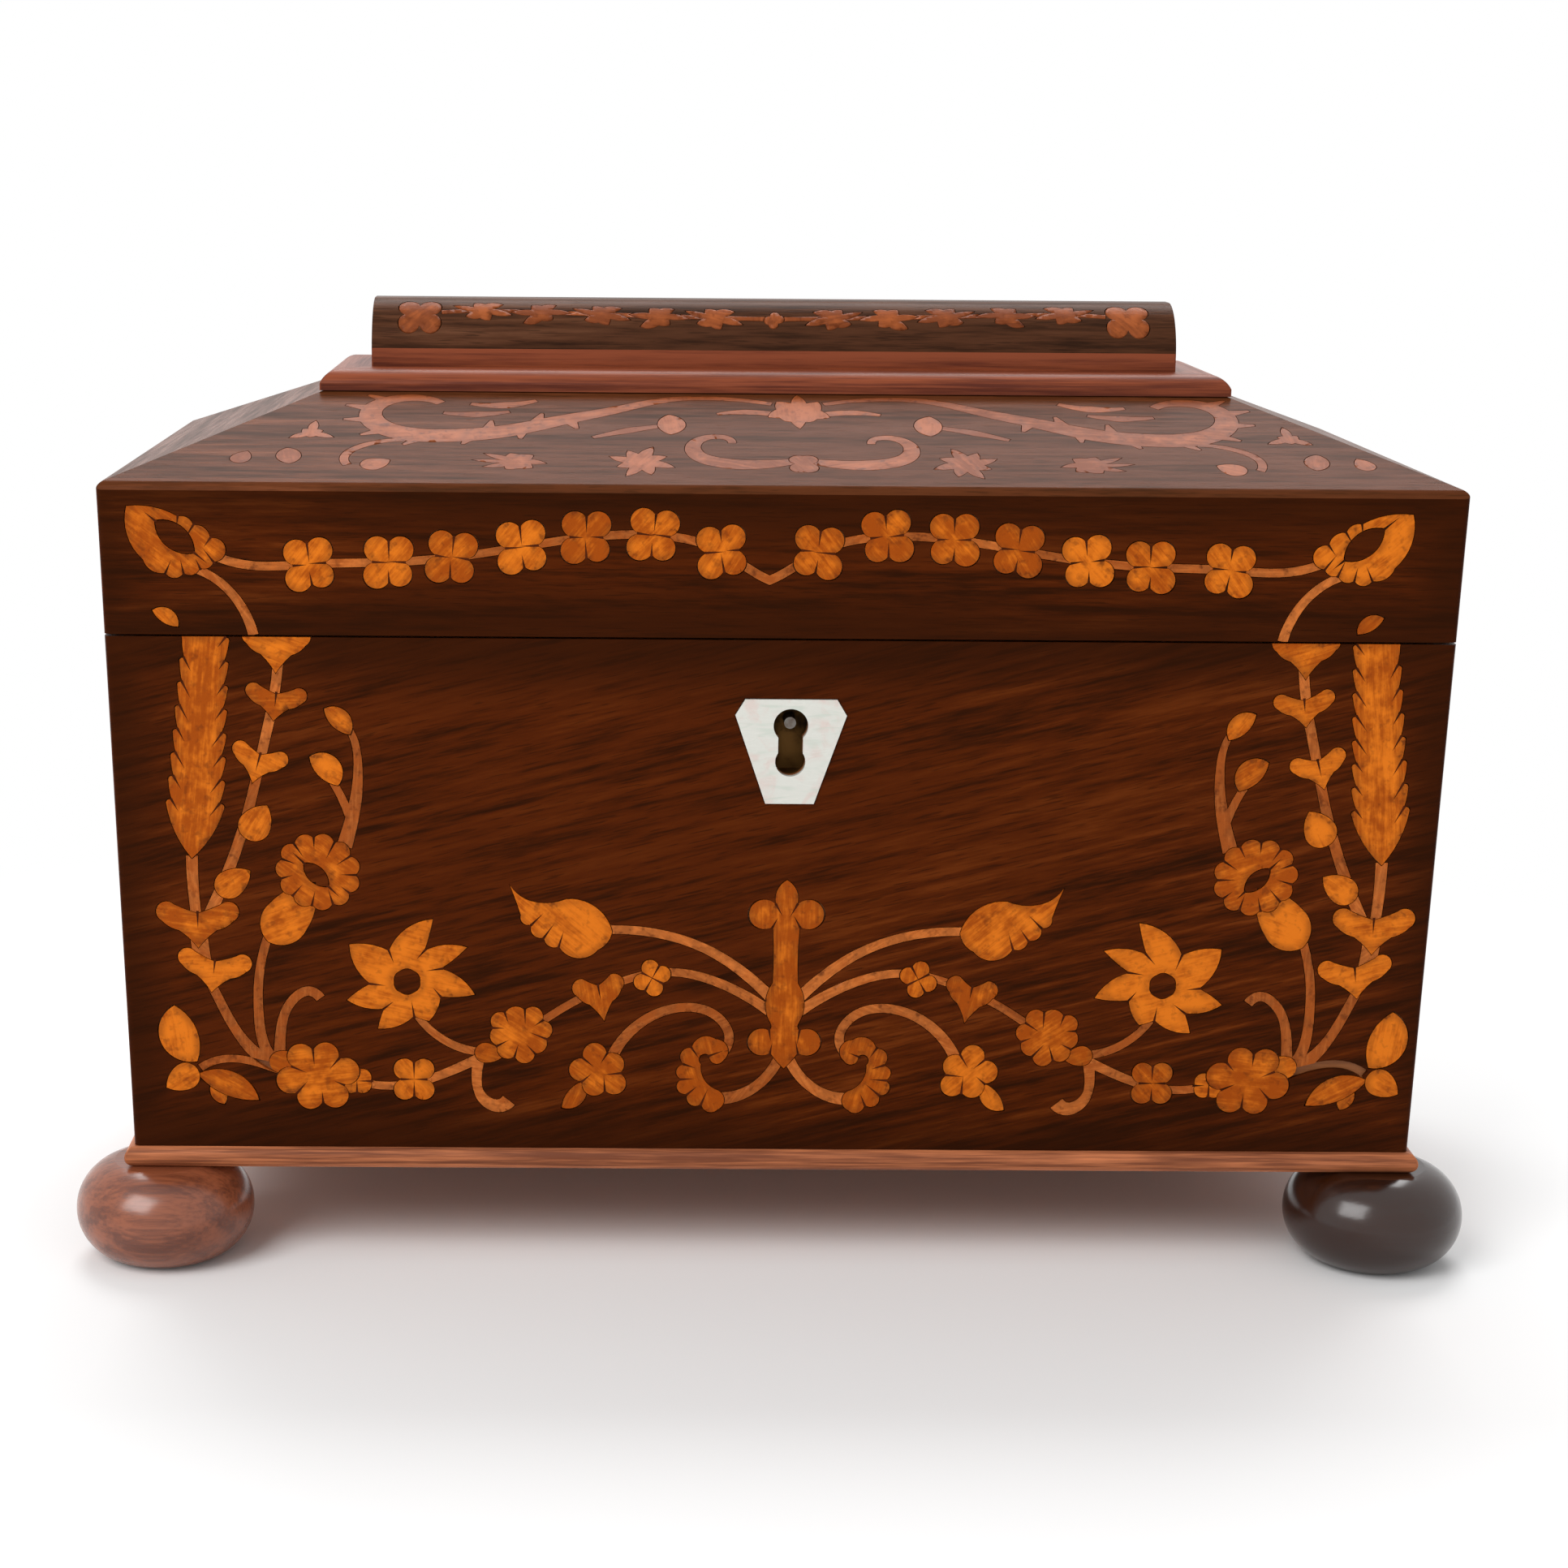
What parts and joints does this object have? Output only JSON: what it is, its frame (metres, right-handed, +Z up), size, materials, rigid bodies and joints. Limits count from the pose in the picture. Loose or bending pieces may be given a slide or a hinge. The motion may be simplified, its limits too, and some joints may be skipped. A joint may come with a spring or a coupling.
{
  "type": "marquetry box",
  "caption": "Sarcophagus-shaped wooden box with a hipped hinged lid, cushion top, floral marquetry front, pearl escutcheon, box lock and turned bun feet",
  "frame": {"origin": "on the floor under the middle of the box", "axes": "+Z up, -Y out of the front, +X to the right"},
  "size_m": [0.268, 0.136, 0.1808],
  "materials": {
    "rosewood": "polished",
    "moulding_wood": "polished",
    "foot_wood": "polished",
    "inlay_wood": "polished",
    "stem_wood": "polished",
    "pearl": "polished mother-of-pearl",
    "carcase_wood": "planed",
    "brass": "aged",
    "steel": "blued",
    "lining": "paper on card"
  },
  "bodies": {
    "case": {"front_veneer": "rosewood", "back_veneer": "rosewood", "end_veneers": "rosewood", "base_mouldings": "moulding_wood", "front_left_foot": "foot_wood", "front_right_foot": "foot_wood", "back_left_foot": "foot_wood", "back_right_foot": "foot_wood", "front_inlay_flowers": "inlay_wood", "front_inlay_stems": "stem_wood", "escutcheon": "pearl", "front_board": "carcase_wood", "back_board": "carcase_wood", "left_board": "carcase_wood", "right_board": "carcase_wood", "bottom_board": "carcase_wood", "hinge_case_leaves": "brass", "hinge_case_screws": "brass", "lock_case": "brass", "lock_cap": "brass", "lock_screws": "brass", "hinge_pins": "steel", "lock_key_pin": "steel", "lock_spring": "steel", "floor_lining": "lining", "wall_lining": "lining"},
    "lid": {"lid_front_wall": "carcase_wood", "lid_back_wall": "carcase_wood", "lid_left_wall": "carcase_wood", "lid_right_wall": "carcase_wood", "lid_front_veneer": "rosewood", "lid_back_veneer": "rosewood", "lid_end_veneers": "rosewood", "front_slope": "carcase_wood", "back_slope": "carcase_wood", "left_slope": "carcase_wood", "right_slope": "carcase_wood", "front_slope_veneer": "rosewood", "back_slope_veneer": "rosewood", "end_slope_veneers": "rosewood", "lid_top_board": "carcase_wood", "plinth_mouldings": "moulding_wood", "plinth_board": "moulding_wood", "crown_core": "carcase_wood", "crown_veneer": "rosewood", "crown_end_veneers": "rosewood", "lid_inlay_flowers": "inlay_wood", "lid_inlay_stems": "stem_wood", "slope_inlay_flowers": "inlay_wood", "slope_inlay_stems": "stem_wood", "crown_inlay_flowers": "inlay_wood", "crown_inlay_stems": "stem_wood", "lid_lining": "lining", "hinge_lid_leaves": "brass", "hinge_lid_screws": "brass", "link_plate": "brass", "link_screws": "brass"},
    "bolt": {"lock_bolt": "brass"}
  },
  "joints": [
    {"name": "lid_hinge", "type": "hinge", "parent": "case", "child": "lid", "pos_m": [0, 0.06064, 0.1222], "axis": [-1, 0, 0], "range_deg": [0, 100]},
    {"name": "bolt_slide", "type": "slide", "parent": "case", "child": "bolt", "axis": [1, 0, 0], "range_m": [0, 0.0042]}
  ]
}
